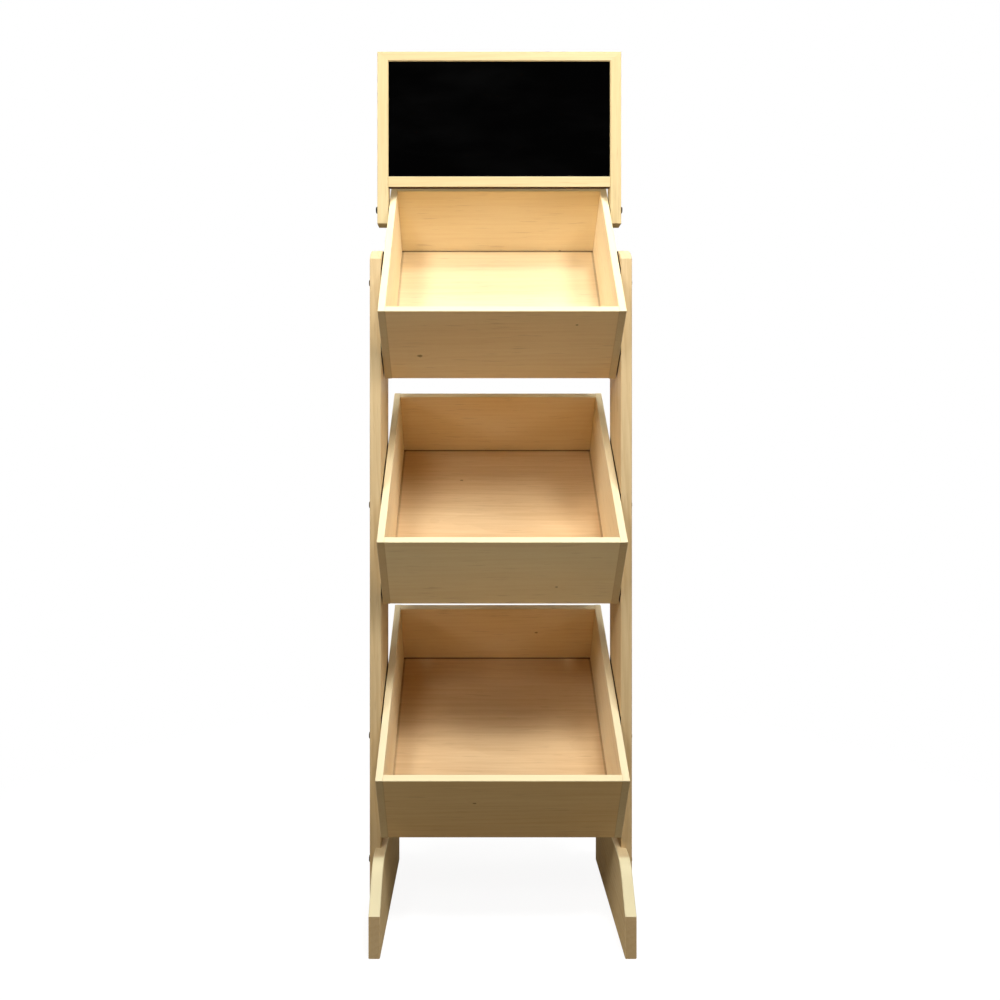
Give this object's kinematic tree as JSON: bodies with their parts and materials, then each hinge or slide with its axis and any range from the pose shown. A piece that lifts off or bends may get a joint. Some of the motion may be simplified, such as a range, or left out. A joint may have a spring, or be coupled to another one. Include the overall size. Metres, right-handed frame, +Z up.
{
  "type": "display rack",
  "caption": "Free-standing wooden display rack with open bins tipped forward one above another between two posts on feet, and a framed black chalkboard on top.",
  "frame": {"origin": "on the floor, at the middle of the rack's length and width", "axes": "+Z up, -Y towards the front, where the bins open, and +X to the viewer's right"},
  "size_m": [0.448, 0.4156, 1.5181],
  "materials": {
    "post_wood": "clear satin, upright grain",
    "foot_wood": "clear satin, level grain",
    "bin_wood": "clear satin, grain along each board",
    "floor_wood": "clear satin, grain across the rack",
    "frame_wood": "clear satin, grain along each moulding",
    "chalkboard": "matt black paint on thin board",
    "screw_black": "satin black"
  },
  "bodies": {
    "root": {"chalkboard": "chalkboard", "foot_screws": "screw_black", "header_screws": "screw_black", "left_foot": "foot_wood", "left_post": "post_wood", "left_stile": "frame_wood", "lower_bin_back": "bin_wood", "lower_bin_floor": "floor_wood", "lower_bin_front": "bin_wood", "lower_bin_left_side": "bin_wood", "lower_bin_right_side": "bin_wood", "lower_bin_screws": "screw_black", "lower_rail": "frame_wood", "middle_bin_back": "bin_wood", "middle_bin_floor": "floor_wood", "middle_bin_front": "bin_wood", "middle_bin_left_side": "bin_wood", "middle_bin_right_side": "bin_wood", "middle_bin_screws": "screw_black", "right_foot": "foot_wood", "right_post": "post_wood", "right_stile": "frame_wood", "top_bin_back": "bin_wood", "top_bin_floor": "floor_wood", "top_bin_front": "bin_wood", "top_bin_left_side": "bin_wood", "top_bin_right_side": "bin_wood", "top_bin_screws": "screw_black", "top_rail": "frame_wood"}
  },
  "joints": []
}
